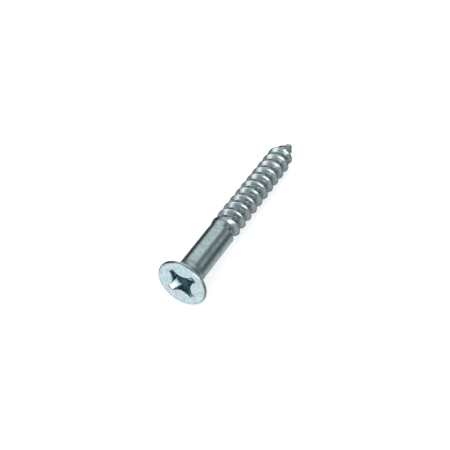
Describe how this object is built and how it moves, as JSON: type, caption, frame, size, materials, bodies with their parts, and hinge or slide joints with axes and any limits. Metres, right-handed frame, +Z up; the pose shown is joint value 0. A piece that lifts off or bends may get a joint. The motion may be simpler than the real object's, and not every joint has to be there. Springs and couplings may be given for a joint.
{
  "type": "countersunk wood screw",
  "caption": "Countersunk wood screw with a cross recess, plain shank, right-hand coarse thread and gimlet point, in bright zinc-plated steel.",
  "frame": {"origin": "centre of the head's flat face, on the screw's axis: the point that ends up flush with the surface the screw is driven into", "axes": "+Y along the screw's axis from the head to the point, so the head's face looks along -Y; +Z up with the screw lying down; +X to the right seen from the head"},
  "size_m": [0.0074, 0.035, 0.0074],
  "materials": {
    "zinc_plated_steel": "bright zinc plating with a blue passivation: a satin metal with a cool tint, lightly mottled"
  },
  "bodies": {
    "root": {"screw": "zinc_plated_steel"}
  },
  "joints": []
}
